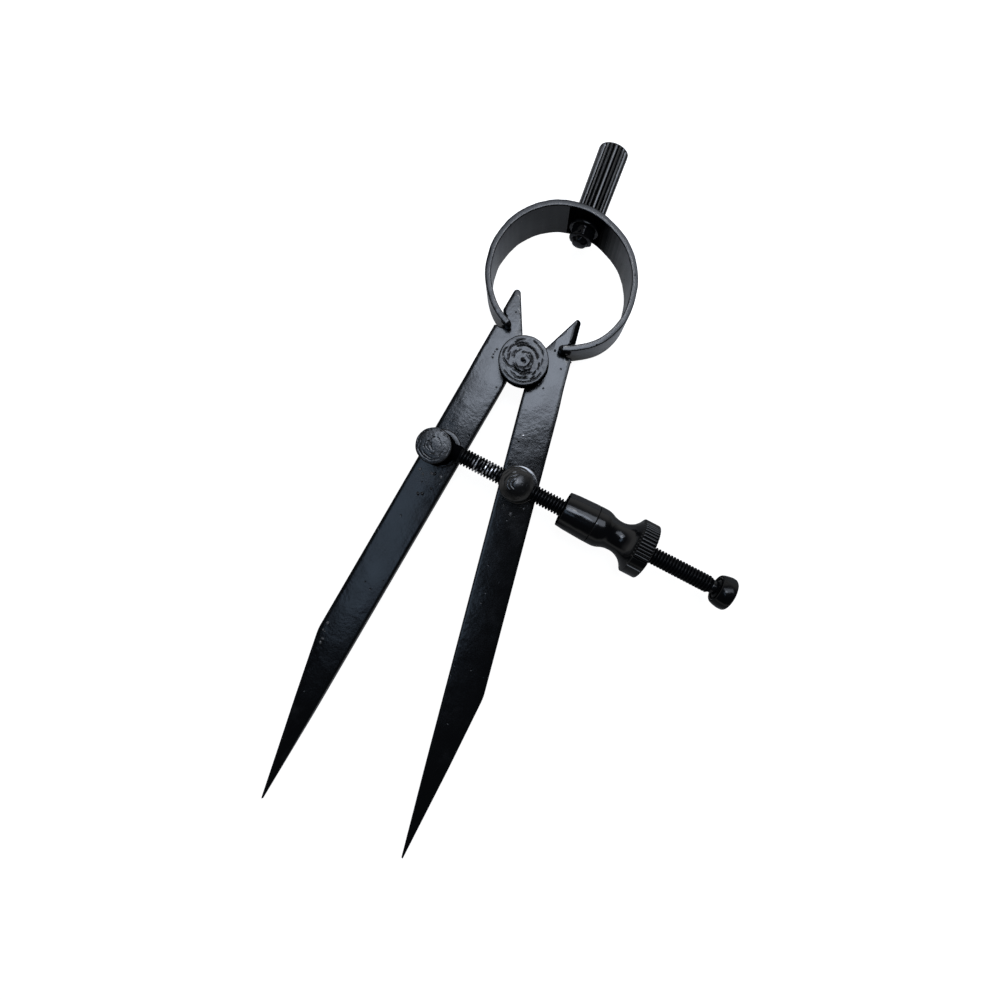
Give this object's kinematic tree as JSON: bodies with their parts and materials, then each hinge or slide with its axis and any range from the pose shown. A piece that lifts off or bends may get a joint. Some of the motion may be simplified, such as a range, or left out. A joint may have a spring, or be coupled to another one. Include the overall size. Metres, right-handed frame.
{
  "type": "spring divider",
  "caption": "Spring divider with flat pointed legs on a turned fulcrum, a flat bow spring, a fluted handle and an adjusting screw with a knurled nut.",
  "frame": {"origin": "on the pivot axis, at the rear face of the fulcrum, which is also the rear edge of the bow spring", "axes": "+Z along the pivot axis to the front face, +Y along the line between the legs to the handle, +X to the side of the adjusting nut"},
  "size_m": [0.1446, 0.2948, 0.0296],
  "materials": {
    "black_enamel": "glossy black enamel on steel, a little uneven",
    "blackened_steel": "blackened steel under the same thin enamel, brighter on worn crests"
  },
  "bodies": {
    "head": {"fulcrum": "black_enamel", "bow_spring": "black_enamel", "handle": "black_enamel", "handle_washer": "blackened_steel", "handle_nut": "blackened_steel"},
    "left_arm": {"left_leg": "black_enamel", "left_post_collar": "blackened_steel", "left_post_back_washer": "blackened_steel"},
    "right_arm": {"right_leg": "black_enamel", "right_post_collar": "blackened_steel", "right_post_back_washer": "blackened_steel"},
    "screw_carrier": {"left_post": "black_enamel", "adjusting_screw": "blackened_steel", "screw_pin": "blackened_steel", "screw_cap": "black_enamel"},
    "stud": {"right_post": "black_enamel"},
    "sleeve": {"thrust_sleeve": "black_enamel"},
    "nut": {"adjusting_nut": "black_enamel"}
  },
  "joints": [
    {"name": "nut_turn", "type": "hinge", "parent": "sleeve", "child": "nut", "pos_m": [0.05989, -0.04838, 0.0185], "axis": [0.9962, -0.0872, 0], "range_deg": [-2775, 7183]},
    {"name": "left_leg_swing", "type": "hinge", "parent": "head", "child": "left_arm", "pos_m": [0, 0, 0.0095], "axis": [0, 0, -1], "range_deg": [-8.5, 22], "deforming": ["bow_spring"]},
    {"name": "right_leg_swing", "type": "hinge", "parent": "head", "child": "right_arm", "pos_m": [0, 0, 0.0095], "axis": [0, 0, 1], "range_deg": [-8.5, 22], "deforming": ["bow_spring"]},
    {"name": "left_post_swivel", "type": "hinge", "parent": "left_arm", "child": "screw_carrier", "pos_m": [-0.01795, -0.04316, 0.0095], "axis": [0, 0, 1], "range_deg": [-9.32, 24.1]},
    {"name": "right_post_swivel", "type": "hinge", "parent": "right_arm", "child": "stud", "pos_m": [0.01551, -0.0445, 0.0095], "axis": [0, 0, 1], "range_deg": [-19.92, 7.7]},
    {"name": "sleeve_slide", "type": "slide", "parent": "screw_carrier", "child": "sleeve", "axis": [0.9962, -0.0872, 0], "range_m": [-0.0098, 0.02535]}
  ],
  "couplings": [
    {"joint": "left_leg_swing", "follows": "nut_turn", "ratio": 0.0030626},
    {"joint": "right_leg_swing", "follows": "nut_turn", "ratio": 0.0030626},
    {"joint": "left_post_swivel", "follows": "nut_turn", "ratio": 0.0033535},
    {"joint": "right_post_swivel", "follows": "nut_turn", "ratio": -0.0027716},
    {"joint": "sleeve_slide", "follows": "nut_turn", "m_per_rad": 0.00020213}
  ]
}
